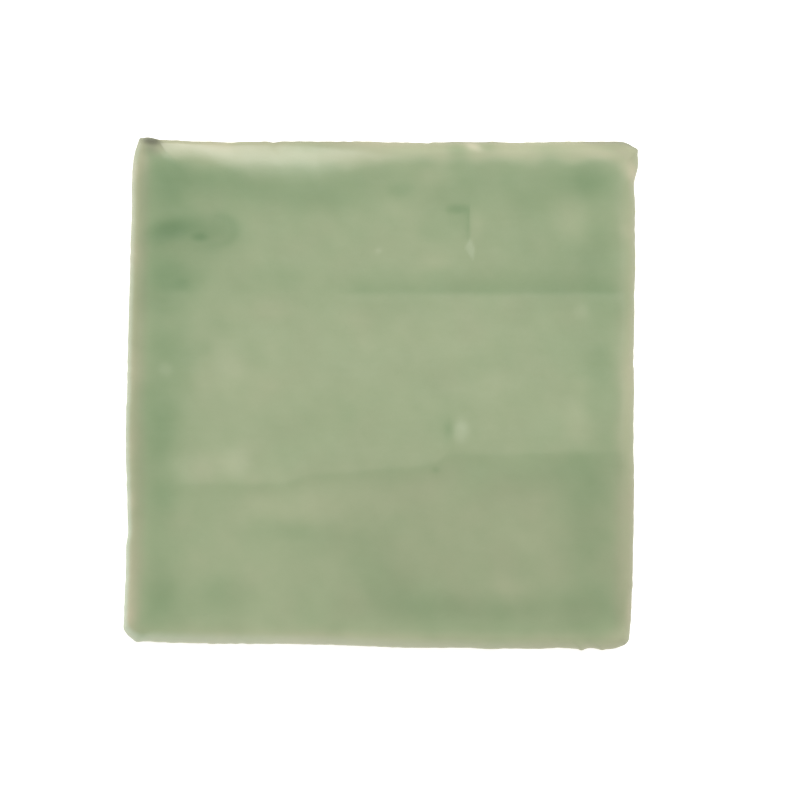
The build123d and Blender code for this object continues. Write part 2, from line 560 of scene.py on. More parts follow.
def band_quads(upper, lower):
    """Quads between two rings of point numbers that run anticlockwise, seen from outside."""
    after = np.roll(upper, -1), np.roll(lower, -1)
    return np.stack([upper, lower, after[1], after[0]], -1)


def border_of(numbers):
    """Outermost point numbers of a square grid, anticlockwise from the foot left corner."""
    return np.concatenate([numbers[:-1, 0], numbers[-1, :-1], numbers[:0:-1, -1], numbers[0, :0:-1]])


def fans_between(ring_numbers, back_border):
    """Triangles that join the fine ring to the back's border, in a fan from each of its points."""
    fine = ring_numbers.reshape(-1, BACK_STEP)
    fine = np.concatenate([fine, np.roll(fine[:, :1], -1, axis=0)], axis=1)
    after = np.roll(back_border, -1)
    middle = BACK_STEP // 2
    fans = [np.stack([fine[:, middle], back_border, after], -1)]
    for k in range(BACK_STEP):
        apex = back_border if k < middle else after
        fans.append(np.stack([fine[:, k], apex, fine[:, k + 1]], -1))
    return np.concatenate(fans)


print("the quad over a grid of two by two:", grid_quads(np.arange(4).reshape(2, 2)))

# %% Join the face, the sides and the back
def put_in_scene(name, data):
    """New object that holds the mesh, light or camera, linked into the scene."""
    made = bpy.data.objects.new(name, data)
    bpy.context.scene.collection.objects.link(made)
    return made


face_numbers = np.arange(x.size).reshape(x.shape)
skirt_numbers = x.size + np.arange(skirt_z.size).reshape(skirt_z.shape)
back_numbers = x.size + skirt_z.size + np.arange(back_i.size).reshape(back_i.shape)

rings_down = [border_of(face_numbers), *skirt_numbers]
quads = [grid_quads(face_numbers)]
quads += [band_quads(upper, lower) for upper, lower in zip(rings_down[:-1], rings_down[1:])]
quads.append(grid_quads(back_numbers)[:, ::-1])
fans = fans_between(rings_down[-1], border_of(back_numbers))

face_points = np.stack([x, y, z], -1)
skirt_points = np.concatenate([skirt_place, skirt_z[..., None]], -1)
back_points = np.stack([back_i * back_half, back_j * back_half, 0 * back_i], -1)
points = np.concatenate([p.reshape(-1, 3) for p in (face_points, skirt_points, back_points)])
faces = np.concatenate(quads).tolist() + fans.tolist()

mesh = bpy.data.meshes.new("glazed_tile")
mesh.from_pydata(points * MM, [], faces)
mesh.polygons.foreach_set("use_smooth", np.ones(len(faces), bool))
mesh.update()
tile = put_in_scene("glazed_tile", mesh)
triangles = sum(len(face) - 2 for face in faces)
print("glazed_tile:", len(points), "points,", triangles, "triangles")

# %% [markdown]
# ## How deep the glaze lies
# A transparent coloured glaze is like weak tea: the deeper it lies, the darker and greener it
# looks, and where it is thin the cream clay shows through. So the main colour of the tile is
# one number at each point, the depth of the glaze. Glaze runs off edges and crests and gathers
# in hollows, which gives the broad pattern. The pools and thin spots of this one tile are
# listed one by one. The depth is kept as an attribute of the mesh, because a pattern made in the
# material alone could not know where the edges and hollows are.

# %% Pools and thin places
# Rows of spots, whose strength is how much deeper the glaze lies
POOLS = (
    # Head
    (-43, 41, 5.5, 5, 27), (-35, 43.8, 6, 3.2, 10), (-31, 41, 8, 3.4, 22, -3),
    (-16, 36.8, 20, 2.6, 5), (-14, 39.6, 11, 3.2, 17), (-4, 43, 6, 2.4, 10),
    (3.6, 40.2, 2.6, 1.5, 12), (12.5, 46.2, 3, 2, 6), (14, 38.8, 6, 4, 10), (14, 34, 2, 2.2, 7),
    (18, 43.6, 6, 3, 8), (28.6, 37.3, 6, 2.8, 9), (31, 41.6, 12, 3.6, 11),
    (40.5, 42.4, 4.2, 3.4, 26),
    # Smear
    (-41.8, 31.7, 4.6, 2.2, 42, 13), (-37.5, 31, 8.5, 7, 18), (-35.9, 30.4, 1.5, 0.85, 28),
    (-33.2, 31.8, 4.8, 3.5, 22),
    # Left
    (-45.4, 27, 2.8, 6.5, 8), (-41, 22.4, 5.4, 3.4, 30, -5), (-39.4, 21, 1.6, 1.3, 14),
    (-41.7, 20.4, 1.8, 1.3, 6), (-48, 19, 2, 6, 13), (-42.6, 17.2, 4.2, 2, 8),
    (-42, 11, 4.6, 5, 12), (-34.5, 8.6, 1.8, 1.6, 6), (-37.8, 7.6, 3, 2.6, 6), (-39, 5, 3.6, 5, 6),
    (-44.2, -6.5, 4.2, 10, 24), (-48, -19, 1.8, 9, 12), (-43.8, -21.5, 4.4, 5, 14),
    (-44.6, -29, 2.6, 4, 5), (-43.6, -34.2, 1.9, 2, 5.5), (-43.2, -40.6, 3.7, 5.6, 21),
    # Middle
    (-32.4, -22.6, 3.6, 2.4, 6), (-32, 12.4, 3, 2.4, 4), (-21, 22.8, 9, 2.4, 4),
    (-19, 23.6, 4.4, 3.2, 7), (-16, -27.6, 8, 2.2, 12, -3), (-13.8, -31.6, 3.2, 1.7, 6.5),
    (10.4, 32.2, 3.6, 2.6, 7), (11.2, -15, 0.8, 0.7, 12), (29, -14.8, 14, 2.4, 7, 3),
    (30.5, 31.4, 6.5, 5.5, 11), (31.6, -17.6, 3.4, 2.4, 6),
    # Right
    (48, 30, 1.8, 12, 8), (42.5, 28, 3.4, 6, 14), (37.6, 27.2, 4.5, 3, 8),
    (34.8, 22.7, 6.5, 3.3, 9), (38, 18.2, 7.5, 2, 6), (43.5, 16, 4, 5, 7), (36, 10, 5, 5, 5),
    (43.8, 9.4, 1.7, 1.6, 5), (42.6, 8, 2.6, 2.6, 4), (42, 5, 3, 6, 6), (46.2, 4, 1.8, 7, 4),
    (43, 2, 3, 10, 5), (45.6, -8, 2.4, 3.4, 5), (40.2, -17.5, 6, 6, 16), (41, -30, 4.6, 8, 10),
    (41, -41.5, 7, 4, 18), (39.6, -45.3, 4, 1.6, 7),
    # Foot
    (-33, -41.6, 7.4, 4.6, 10), (-29.5, -38.8, 4.4, 3.2, 10, 8), (-2, -34, 5.2, 8, 11, 22),
    (4, -39, 6, 4.4, 11, -20), (18, -42.6, 16, 3.2, 18),
)

THIN = (
    # Head
    # The first row below paints a small highlight at the left end of the streak along the head
    (-42.7, 48.4, 0.5, 1.1, -30, 20), (2, 36.6, 3, 2.2, -7), (8, 42.5, 2.5, 2, -5),
    (11, 43.4, 3.4, 2.2, -9), (18.6, 33.4, 1.3, 3.2, -7), (37.4, 35.2, 3.6, 4.2, -10),
    (41.6, 47.1, 3.4, 0.9, -10, -8), (45, 45.4, 2.4, 1.4, -4),
    # Smear
    (-34.7, 29.7, 4.4, 1.3, -6),
    # Left
    (-41.6, 13.3, 1.9, 1.6, -6.5), (-42.4, 4.2, 1.5, 1.4, -12), (-45.8, -2, 2.2, 1.6, -5),
    # The next row, a pale patch on the lit side of the crest, is partly painted reflection
    (-35.6, -14.9, 6.6, 3.1, -12, 2),
    # Middle
    # The first two rows below are pale patches that are partly painted reflection
    (-30, 5, 3.2, 3.3, -8), (-27.9, -13.9, 2.7, 3.3, -16), (-26, 1, 8, 6, -5),
    (-24.7, -17.4, 2, 1.4, -6), (-24, -1, 3, 4, -3), (-23, 16, 8, 1.9, -7.5),
    (-22, -15.8, 3.6, 2, -5), (-22, 2.5, 14, 2.6, -3), (-20.6, 8.6, 1.8, 2.4, -5),
    (-19, -22.4, 9, 2.6, -6, 2), (-9, -20.5, 19, 5, -5, 2), (-6, 14.8, 7, 2, -5),
    (-5.6, -26.7, 2.2, 1.5, -5.5), (-0.6, 28.1, 0.7, 0.6, -10), (0, -20, 5, 4, -3),
    (3, 11.5, 18, 4.6, -4), (10, 25.7, 3, 1.5, -9), (12, 27.4, 6, 2.6, -6),
    # The first row below thins the glaze on the pimple's top, partly a painted highlight
    (15.9, -7.9, 1.6, 2.2, -12), (21.4, 2.2, 3.6, 2.6, -5), (25, -27, 9, 5, -5),
    # Right
    (39.6, 16.6, 1.6, 1.6, -8), (40.3, 2.3, 2.6, 1.6, -6.5), (49.3, 0, 1.5, 10, -26),
    (38.8, -5, 2.7, 4.6, -12), (48, -47.6, 3, 2.4, -16),
    # Foot
    (26, -38.6, 3.8, 2.9, -8),
)

SPOT_EDGE = 2.4  # these spots have a rather flat top
print("pools:", len(POOLS), "thin places:", len(THIN))

# %% Depth over the face
MIDDLE_DEPTH = 0.56
DEPTH_DRIFT = ((16, 0.014), (6, 0.01))  # size of the chance pools and their spread

# The fold's corner holds a bar of deep glaze along its top and a stem down its right side, whose darkness
# is partly painted shade of the crease
BAR = (14.9, 36.5, 2.3, 0.95, 22)
STEM_DEPTH, STEM_X, STEM_WIDTH = 0.24, 17.3, 0.95
STEM_MIDDLE, STEM_HALF = 33.8, 3.3
# Deeper glaze in the hollow left of the pimple, partly painted shade of the pimple's dark side
DIMPLE_POOL_AND_SHADE = (13.6, -7.1, 1.1, 1.9, 20)

# Rim of the round blot at the smear's right end
BLOT, BLOT_HALF, BLOT_DEPTH = (-32.8, 31.8), (4.6, 3.4), 0.11
BLOT_RIM, BLOT_RIM_HALF = 0.85, 0.25  # place and half width of the rim, in half sizes
FLAKE_THINNER = 0.09

# Deeper towards the left, right and head sides and in the lower right, by soft steps
sides = 0.1 * ease(x, -34, -43) + 0.05 * ease(x, 34, 44) + 0.05 * ease(y, 34, 43)
lower_right = 0.065 * ease(y, -10, -18) * ease(x, -26, 6)
bands = 0.02 * ease(y, 10, 18) - 0.03 * ease(y, -12, -24)
broad = MIDDLE_DEPTH + sides + lower_right + bands

# A ridge of depth where glaze collected along the groove and under the crest; its darkness on the
# groove's upper side and below the crest is partly painted shade
gathered_and_shade = 0.025 * ease(x, -38, -26) + 0.105 * ease(x, -9, -4) + 0.05 * ease(x, 6, 14)
gathered_and_shade *= ridge(y - groove_line(x), (3.4, 0.85), 1.7)
gathered_and_shade += 0.06 * ease(x, -44, -36) * ridge(crest_line(x) - y, (3.0, 0.5), 1.5)

bar = spots(x, y, [BAR], edge=3) * ease(x, 17.5, 16.9)
stem_and_shade = STEM_DEPTH * np.exp(-np.maximum(STEM_X - x, 0) / STEM_WIDTH) * ease(x, 17.6, 17.2)
stem_and_shade *= ridge(y - STEM_MIDDLE, (STEM_HALF, STEM_HALF), 5)
from_blot = np.hypot((x - BLOT[0]) / BLOT_HALF[0], (y - BLOT[1]) / BLOT_HALF[1])
blot = BLOT_DEPTH * np.exp(-(((from_blot - BLOT_RIM) / BLOT_RIM_HALF) ** 2)) * ease(x, -36, -30)
thin_flake = -FLAKE_THINNER * within(x, y, FLAKE)
small_forms = bar + stem_and_shade + blot + thin_flake + spots(x, y, [DIMPLE_POOL_AND_SHADE])

rim_unevenness = clouds(x, y, 9)  # of the rim's width, in the cells below
drift = sum(spread * clouds(x, y, size) for size, spread in DEPTH_DRIFT)
full_depth = broad + drift + gathered_and_shade + small_forms + spots(x, y, POOLS + THIN, SPOT_EDGE)
print("depth without the thinning at the edges:", span(full_depth))

# %% [markdown]
# ## The worn rim
# On the rolled edge the glaze thins out to a dry, pale rim, sharply along the head and very
# gradually at the left. The inner edge of that rim cuts the corners in rounder arcs than the
# tile has. A thin line of painted shade on the roll's outermost turn, and a chip that is partly
# painted shade, mark the head. All of this is written over the distance from the edge and the
# place round the outline. Single spots come last, or the rim would swallow them.

# %% How the glaze thins out at the edge
# Along the foot, right, head and left, as everywhere below
EDGE_DEPTH = ((0.08, 0.2), (0.38, 0.34), (0.31, 0.25), 0.02)  # depth left at the edge
DEEPENS_OVER = (2, (2.8, 2.9), (3.7, 3.9), (1.7, 2.1))  # mm over which it deepens
SHARPNESS = (1.6, 2.2, (5, 3.5), 1)  # and how sharply
PRESSED_WIDER = 0.8  # mm more along the pressed stretch
RIM_UNEVEN = 0.08  # share by which the rim's width varies
INNER_RADII = np.array([4.0, 5.0, 8.0, 3.5])  # corner radii of the thin rim's inner edge

# Rows of spots within the thin rim
RIM_SPOTS = (
    # Foot
    (-46.6, -48.4, 1.4, 1.2, 8), (-34, -49, 10, 1.2, -5), (-29.5, -46.8, 4.5, 1.3, 6),
    (-17, -48.7, 6, 1.3, -10), (-8, -46.1, 2, 1.5, 7), (-4, -48.5, 5.4, 1.4, -11),
    (6, -48.6, 5, 1.3, -5), (25, -46.3, 17, 1.2, 5),
    # Right
    (48.6, 44.6, 1.8, 1.8, -17), (49.4, 43.4, 1.1, 1.8, -15), (46.9, 39.4, 3, 2, 7),
    (48.2, 32.4, 1.7, 1.8, -8), (47.6, 18.4, 2.6, 2.4, 8), (49.4, 3.4, 1.3, 8.5, -9),
    (48.9, -41.4, 1.3, 3.4, 7), (49.7, -42.5, 0.8, 3.4, -11),
    # Head
    (-46.3, 48.3, 1.3, 1.3, 10), (-38.6, 48.9, 3.2, 1.1, -8), (-38.2, 45.4, 2.6, 1.5, 13),
    (-32, 48.5, 4.2, 1.6, -13), (-28.4, 49, 1.6, 0.9, 6), (-13, 48.6, 6, 1.3, 12),
    (10, 49.2, 4.6, 0.9, 7), (14.6, 48.5, 1.9, 1.3, 16), (15.4, 47, 2.2, 1.6, 13),
    # The first row below thins the glaze to paint the highlight on a lifted flake of the edge
    (18.1, 48.8, 1.8, 0.75, -28, -18), (20.6, 48.9, 2.2, 1.1, 17), (25, 47.4, 4, 1, -4),
    (27, 47.7, 5, 1.3, -4), (32.6, 48.6, 2.2, 1.3, 7), (41.6, 47.7, 3.6, 1.2, -9, -6),
    (44, 47.4, 2.4, 1, -5), (45.6, 49.2, 2.2, 0.9, 12),
    # Left
    (-48.9, 47.4, 1.1, 1.2, 12), (-47.2, 45, 1.2, 1.8, -8), (-49.2, 43.4, 1.2, 1.8, -15),
    (-49, 37, 1.5, 7.5, -9), (-46, 31.5, 1.6, 4, -5), (-49.2, 26.6, 1.4, 2.8, -13),
    (-44.6, 25, 3.4, 10, 6), (-44.3, 7.6, 3.2, 3.6, 7), (-49.4, 5.6, 1.1, 6, -6),
    (-49.4, -12.5, 1.1, 4, -5), (-45, -22, 3, 5, 4), (-49.2, -22, 1.3, 1.8, -12),
    (-49.2, -39, 1.6, 7, -10), (-49, -44.6, 1.5, 2, -12),
)


def rim_gap(side, q, inset):
    """Distance from an outline like the edge but with rounder corners."""
    place = np.abs(ring_place(side, q, inset)[0])
    radius = INNER_RADII[(side + (q > 0)) % 4]
    past = place - (HALF - radius)[..., None]
    round_corner = radius - np.hypot(past[..., 0], past[..., 1])
    return np.where((past > 0).all(-1), round_corner, inset)


gap = rim_gap(side, q, inset)
at_edge = by_side(share, EDGE_DEPTH)
width = by_side(share, DEEPENS_OVER) + PRESSED_WIDER * pressed_part(share)
width = width * (1 + RIM_UNEVEN * rim_unevenness)

# Share of the full depth that is kept: 1 - exp(-(gap / width)^sharpness)
kept = 1 - np.exp(-((np.maximum(gap, 0) / width) ** by_side(share, SHARPNESS)))
depth = at_edge + (full_depth - at_edge) * kept
depth = np.maximum(depth + spots(x, y, RIM_SPOTS, SPOT_EDGE), 0)
print("depth of glaze on the face:", span(depth))

# %% The chip, and painted shade on the outermost turn of the head's roll
# Rows of spots, whose strength is how much of the dark colour shows. At the head's left corner the dark
# patch is partly a chip and partly painted shade on the corner, and below it lies a grey fade of painted
# shade.
CHIP_AND_CORNER_SHADE = (-45.7, 49.35, 2, 0.9, 100, -9)
SHADE_BELOW_CHIP = (-45.4, 48.1, 2, 1.4, 45, -9)
# The next two rows are painted shade on the roll's outer turn at the head's right
HEAD_RIGHT_EDGE_SHADE = (43, 50.1, 3, 0.9, 20)
HEAD_RIGHT_CORNER_SHADE = (46.8, 50, 2.4, 0.5, 30, -14)

# Painted shade on the outermost turn of the head's roll: place along the head as a share of it, from its
# right corner, and strength of the shade
EDGE_SHADE_LINE = (
    (-0.02, 0), (-0.01, 0.5), (0.015, 0.5), (0.03, 0.16), (0.05, 0.32), (0.105, 0.32),
    (0.125, 0.03), (0.26, 0.03), (0.28, 0.26), (0.37, 0.26), (0.39, 0.05), (0.56, 0.05),
    (0.58, 0.26), (0.76, 0.26), (0.78, 0.04), (0.81, 0.04), (0.83, 0.26), (0.93, 0.26), (0.945, 0),
)
LINE_OUTSIDE = (0.5, 0.15)  # insets over which the line sets in
LINE_ABOVE = (1.5, 1.3)  # angles round the roll, in radians, over which it ends lower down

line_places, line_strengths = np.array(EDGE_SHADE_LINE).T
edge_shade_line = np.interp(share, HEAD + line_places, line_strengths, period=4)
edge_shade_line *= ease(inset, *LINE_OUTSIDE) * ease(roll_turn, *LINE_ABOVE)
# The dark colour: the chip, partly painted shade, and painted shade along the head's edge
chip_and_shade = spots(x, y, (CHIP_AND_CORNER_SHADE, HEAD_RIGHT_EDGE_SHADE), edge=3) + spots(x, y, [HEAD_RIGHT_CORNER_SHADE])
chip_and_shade += (1 - chip_and_shade) * spots(x, y, [SHADE_BELOW_CHIP])
chip_and_shade += (1 - chip_and_shade) * edge_shade_line
print("chip and line:", span(chip_and_shade))

# %% Depth of the glaze on the sides
SHEET, SHEET_LOWER = 0.3, 0.12  # depth on the sides, and how much it gains lower down
SHEET_UNEVEN, SHEET_SIZE = 0.05, 6
BEAD_DEPTH, BEAD_MIDDLE, BEAD_SPREAD = 0.28, 0.3, 0.45  # depth in the bead, place and half width
RIM_FADE = 1.5  # mm below the edge over which the rim's depth gives way to the sides'

sheet = SHEET + SHEET_LOWER * ease(skirt_z, 7, 5) + SHEET_UNEVEN * round_trip(SHEET_SIZE)
thick_bead = BEAD_DEPTH * np.exp(-(((skirt_z - glaze_stop - BEAD_MIDDLE) / BEAD_SPREAD) ** 2))
edge_depth = depth[border_i, border_j]
on_side_wall = ease(skirt_z, edge_z, edge_z - RIM_FADE)
skirt_depth = edge_depth + (sheet + thick_bead - edge_depth) * on_side_wall
skirt_glazed = ease(skirt_z, glaze_stop - LINE_HALF, glaze_stop + LINE_HALF)
print("depth of glaze on the sides:", span(skirt_depth))

# %% [markdown]
# ## Warm, milky and dry places, and painted highlights
# Depth alone gives one run of colours. The real glaze leaves it in three ways: it is browner
# where a little clay dissolved in it, milky where fine bubbles stayed in it, and matt where it
# was too thin to melt into a gloss. Each gets its own number on the mesh. The number for the
# milky glaze also paints highlights on the rim and on a few raised spots.

# %% Warmer tint, where a little clay dissolved in the glaze
RIM_TINT = ((0, 0.25), (0.42, 0.3), (0.08, 0), (0.75, 0.6))  # 1 to 4 mm from the edge
EDGE_TINT = ((0, 0.2), 0.45, (0.6, 0.2), 0)  # in the outermost millimetre
HEAD_MIDDLE = (1, 50, 18, 3, 35)  # more of that at the middle of the head
WARM_SPOTS = ((-38, 31, 9, 5, 20), (35, 22.8, 11, 4, 16))
COOL_RIM = (50, 30, 12, 34, 50)  # the rim is less warm here
LOWER_RIGHT_TINT, WARM_EVERYWHERE = 0.42, 0.05
WARM_UNEVEN, WARM_SIZE = 0.06, 11

warmth = LOWER_RIGHT_TINT * ease(y, -8, -18) * ease(x, -24, 4) * ease(y, -48, -42)
rim_tint = by_side(share, RIM_TINT) * ease(gap, 0.4, 2.0) * ease(gap, 4.6, 2.4)
warmth += rim_tint * (1 - spots(x, y, [COOL_RIM])) + spots(x, y, WARM_SPOTS)
warmth += by_side(share, EDGE_TINT) * ease(gap, 1.6, 0.4)
warmth += spots(x, y, [HEAD_MIDDLE]) * ease(gap, 1.8, 0.4)
warmth = np.clip(warmth + WARM_EVERYWHERE + WARM_UNEVEN * clouds(x, y, WARM_SIZE), 0, 1)
skirt_warmth = warmth[border_i, border_j] + 0 * skirt_z
print("warmth:", span(warmth))

# %% Milkiness, where the glaze is full of fine bubbles, and painted highlights
# Painted highlight along the rim, strongest on the foot and the left, by side, as strength of the
# whitening
RIM_HIGHLIGHT = ((1.5, 0.1), (0, 0.1), 0, (1.2, 2.6))
RIM_HIGHLIGHT_WIDTH = ((2.6, 2.2), 1.4, 1.4, 1.1)  # mm from the edge
MILKY_FLAKE = 0.45
# The first five rows paint light: the highlight on a lifted flake at the head's right, a highlight on the
# pimple's top, and three pale patches that are partly painted reflection
MILKY_AND_LIT_SPOTS = (
    (18.1, 48.8, 1.7, 0.7, 50, -18), (16, -7.9, 1.5, 2.1, 36), (-30, 5, 3, 3.2, 12),
    (-35.6, -14.9, 6.2, 3, 10, 2), (-27.9, -13.9, 2.5, 3.1, 20), (-0.6, 28.1, 0.7, 0.6, 25),
    (39.6, 16.6, 1.6, 1.6, 15), (-42.4, 4.2, 1.5, 1.4, 18),
)

highlight_width = by_side(share, RIM_HIGHLIGHT_WIDTH)
milk_and_highlight = by_side(share, RIM_HIGHLIGHT) * ease(gap, highlight_width, highlight_width / 4)
milk_and_highlight += spots(x, y, MILKY_AND_LIT_SPOTS, edge=3) + MILKY_FLAKE * within(x, y, FLAKE)
print("milkiness:", span(milk_and_highlight))

# %% Dryness, where the glaze is too thin to gloss over
DRY_RIM = (0.9, (0.9, 1.6), 2.1, (1.2, 0.7))  # mm; the head's follow from PRESSED
DRY_UNEVEN = 0.1
DRY_ENDS = 2.8  # widths from the edge at which the gloss is full
DRY_CURVE = 1.6

dry_width = by_pressed((share - HEAD) * 2 * HALF, head_dry, by_side(share, DRY_RIM))
dry_width = dry_width * (1 + DRY_UNEVEN * rim_unevenness)
dryness = ease(gap, DRY_ENDS * dry_width, dry_width) ** DRY_CURVE
print("dryness:", span(dryness))


# %% Write the numbers on the mesh
def put_on_mesh(name, *parts):
    """Write one number for each point: face, skirt, then back."""
    values = np.concatenate([np.ravel(part) for part in parts]).astype(np.float32)
    mesh.attributes.new(name, "FLOAT", "POINT").data.foreach_set("value", values)
    print(name, "on the mesh:", span(values))


# What the rim has of the last three fades out over the first millimetre of the sides
near_rim = ease(skirt_z, edge_z - 1.1, edge_z)
back_zero = np.zeros(back_i.size)
put_on_mesh("glaze_depth", depth, skirt_depth, back_zero)
put_on_mesh("glazed", 1 + 0 * depth, skirt_glazed, back_zero)
put_on_mesh("warmth", warmth, skirt_warmth, back_zero)
for name, values in (("chip_and_shade", chip_and_shade), ("dryness", dryness), ("milk_and_highlight", milk_and_highlight)):
    put_on_mesh(name, values, values[border_i, border_j] * near_rim, back_zero)

# %% [markdown]
# ## The finish: sage glaze over cream clay
# Light that passes through the glaze loses red fastest, then blue, then green. Over a cream
# body that turns buff into sage and then into green as the glaze deepens. A colour ramp holds
# that law, worked out by Beer and Lambert's formula at even depths, so the material stays one
# Principled shader. Glass laid over clay would look alike and render with far more noise. The
# gloss adds an even film of light, so the ramp's colours are a little darker than the tile looks.

# %% Colours worked out from the depth
CLAY = np.array([0.56, 0.529, 0.36])  # the cream body under the glaze, linear light
ABSORBED = np.array([1.09, 0.643, 0.98])  # red, green and blue lost over one unit of depth
RAMP_DEPTH = 1.25  # the depth at the ramp's right end
RAMP_STOPS = 9


def seen_through(depth):
    """Colour of the clay through that depth of glaze: clay * exp(-absorbed * depth)."""
    return (*(CLAY * np.exp(-ABSORBED * depth)), 1.0)


print("colour at the middle's depth:", np.round(seen_through(MIDDLE_DEPTH), 3))


# %% A short way to write node trees
def new_material(name):
    """Material with a Principled shader, its tree of nodes, and the shader."""
    material = bpy.data.materials.new(name)
    material.use_nodes = True
    return material, material.node_tree, material.node_tree.nodes["Principled BSDF"]


glaze, tree, shader = new_material("sage_glaze")


def node(kind, inputs=(), **settings):
    """Add a node to the glaze. inputs maps its sockets to a value or to another node's output."""
    made = tree.nodes.new("ShaderNode" + kind)
    for name, value in settings.items():
        setattr(made, name, value)
    for name, value in dict(inputs).items():
        if isinstance(value, bpy.types.NodeSocket):
            tree.links.new(value, made.inputs[name])
        else:
            made.inputs[name].default_value = value
    return made


def attribute(name):
    """The number that the mesh holds under that name."""
    return node("Attribute", attribute_name=name).outputs["Fac"]


def mixed(factor, a, b, blend="MIX"):
    """Colour mixed from a to b by the factor."""
    return node("Mix", {0: factor, 6: a, 7: b}, data_type="RGBA", blend_type=blend).outputs[2]


def between(factor, a, b):
    """Number between a and b by the factor."""
    return node("Mix", {0: factor, 2: a, 3: b}, data_type="FLOAT").outputs[0]


def noise(scale, detail=2.0, roughness=0.5):
    """Noise of that many features to the metre."""
    sockets = {"Vector": where, "Scale": scale, "Detail": detail, "Roughness": roughness}
    return node("TexNoise", sockets).outputs["Fac"]


def ranged(value, low, high, to_low, to_high):
    """Map low..high of a value to to_low..to_high."""
    sockets = {"Value": value, "From Min": low, "From Max": high, "To Min": to_low, "To Max": to_high}
    return node("MapRange", sockets).outputs["Result"]


def maths(operation, a, b):
    """Two numbers put together."""
    return node("Math", {0: a, 1: b}, operation=operation).outputs[0]


where = node("TexCoord").outputs["Object"]
print("nodes to start from:", len(tree.nodes))

# %% Colour of the glaze
WARM_TINT = (1, 0.9, 0.95, 1)
# Colour of glaze full of fine bubbles, also used for painted highlights
MILK_AND_HIGHLIGHT_COLOUR, MILK_AND_HIGHLIGHT_STRENGTH = (0.62, 0.82, 0.66, 1), 0.15
# Dark colour of the chip, also used for the painted shade along the head's edge
CHIP_AND_SHADE_COLOUR = (0.13, 0.135, 0.085, 1)
MOTTLE_SCALE, MOTTLE = 520, 0.01  # features to the metre, and how far the depth strays


def glazed_colour():
    """Ramp colour of the depth, then warmed, whitened where the glaze is bubbly and where highlights are
    painted, and darkened at the chip and where shade is painted, by the mesh's numbers.
    """
    mottle = ranged(noise(MOTTLE_SCALE, 3), 0.3, 0.7, -MOTTLE, MOTTLE)
    depth = maths("ADD", attribute("glaze_depth"), mottle)
    ramp = node("ValToRGB", {"Fac": maths("DIVIDE", depth, RAMP_DEPTH)})
    stops = ramp.color_ramp.elements
    for k in range(RAMP_STOPS - 2):
        stops.new((k + 1) / (RAMP_STOPS - 1))
    for stop in stops:
        stop.color = seen_through(stop.position * RAMP_DEPTH)
    warmed = mixed(attribute("warmth"), ramp.outputs["Color"], WARM_TINT, "MULTIPLY")
    milk_and_highlight_share = maths("MULTIPLY", attribute("milk_and_highlight"), MILK_AND_HIGHLIGHT_STRENGTH)
    milky_and_lit = mixed(milk_and_highlight_share, warmed, MILK_AND_HIGHLIGHT_COLOUR)
    return mixed(attribute("chip_and_shade"), milky_and_lit, CHIP_AND_SHADE_COLOUR)


print("stops of the ramp, one for each depth of", RAMP_DEPTH / (RAMP_STOPS - 1))

# %% The glaze and the clay in one material
BUFF, PALE_BUFF = (0.58, 0.5, 0.37, 1), (0.66, 0.59, 0.46, 1)  # the bare clay, in soft patches
GROG, MOST_GROG = (0.4, 0.31, 0.22, 1), 0.45  # specks in it
SHEEN_SCALE, PEEL_SCALE, GROG_SCALE, DUST_SCALE = 300, 700, 2600, 160  # features to the metre
SMOOTHEST, LEAST_SMOOTH = 0.285, 0.335  # roughness of glossy glaze
DRY_GLAZE, BARE_CLAY = 0.62, 0.86  # roughness where the glaze is dry, and of the clay
PEEL_HEIGHT, TOOTH_HEIGHT = 0.000012, 0.00012  # metres, on the glaze and on the clay

glazed = attribute("glazed")
grog = noise(GROG_SCALE, 4, 0.65)
dust = noise(DUST_SCALE, 4, 0.6)
clay = mixed(ranged(dust, 0.35, 0.65, 0, 1), BUFF, PALE_BUFF)
clay = mixed(ranged(grog, 0.62, 0.74, 0, MOST_GROG), clay, GROG)
colour = mixed(glazed, clay, glazed_colour())

sheen = ranged(noise(SHEEN_SCALE), 0.3, 0.7, SMOOTHEST, LEAST_SMOOTH)
sheen = between(attribute("dryness"), sheen, DRY_GLAZE)
rough = between(glazed, BARE_CLAY, sheen)

peel = maths("MULTIPLY", noise(PEEL_SCALE), PEEL_HEIGHT)
tooth = maths("MULTIPLY", grog, TOOTH_HEIGHT)
height = between(glazed, tooth, peel)
bumps = node("Bump", {"Height": height, "Distance": 1.0, "Strength": 1.0})

tree.links.new(colour, shader.inputs["Base Color"])
tree.links.new(rough, shader.inputs["Roughness"])
tree.links.new(bumps.outputs["Normal"], shader.inputs["Normal"])
shader.inputs["IOR"].default_value = 1.5

mesh.materials.append(glaze)
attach(tile, "root")
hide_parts("wall_tile")
print("nodes in the glaze:", len(tree.nodes))

# %% [markdown]
# ## Studio: a glowing white table under a white sky
# The photograph shows the tile on pure white with no shadow, as on a light table. A white floor
# that also glows a little gives that, and its opening shows the tile's back from below. A white
# sky lights everything evenly. Beyond the head of the tile hangs a bright strip of light, whose
# reflection is the pale streak along the head edge, and a dim one softens the streak's border.

# %% Table with an opening under the tile
TABLE_HALF = 1.6  # metres
OPENING_HALF = 0.047  # a little smaller than the tile's back
TABLE_LEVEL = -0.00005  # just below the tile's back, so that the two planes don't coincide
WHITE = (1, 1, 1, 1)
TABLE_LOOKS = {
    "Base Color": (0.9, 0.9, 0.9, 1), "Roughness": 0.9, "Emission Color": WHITE,
    "Emission Strength": 0.56,
}

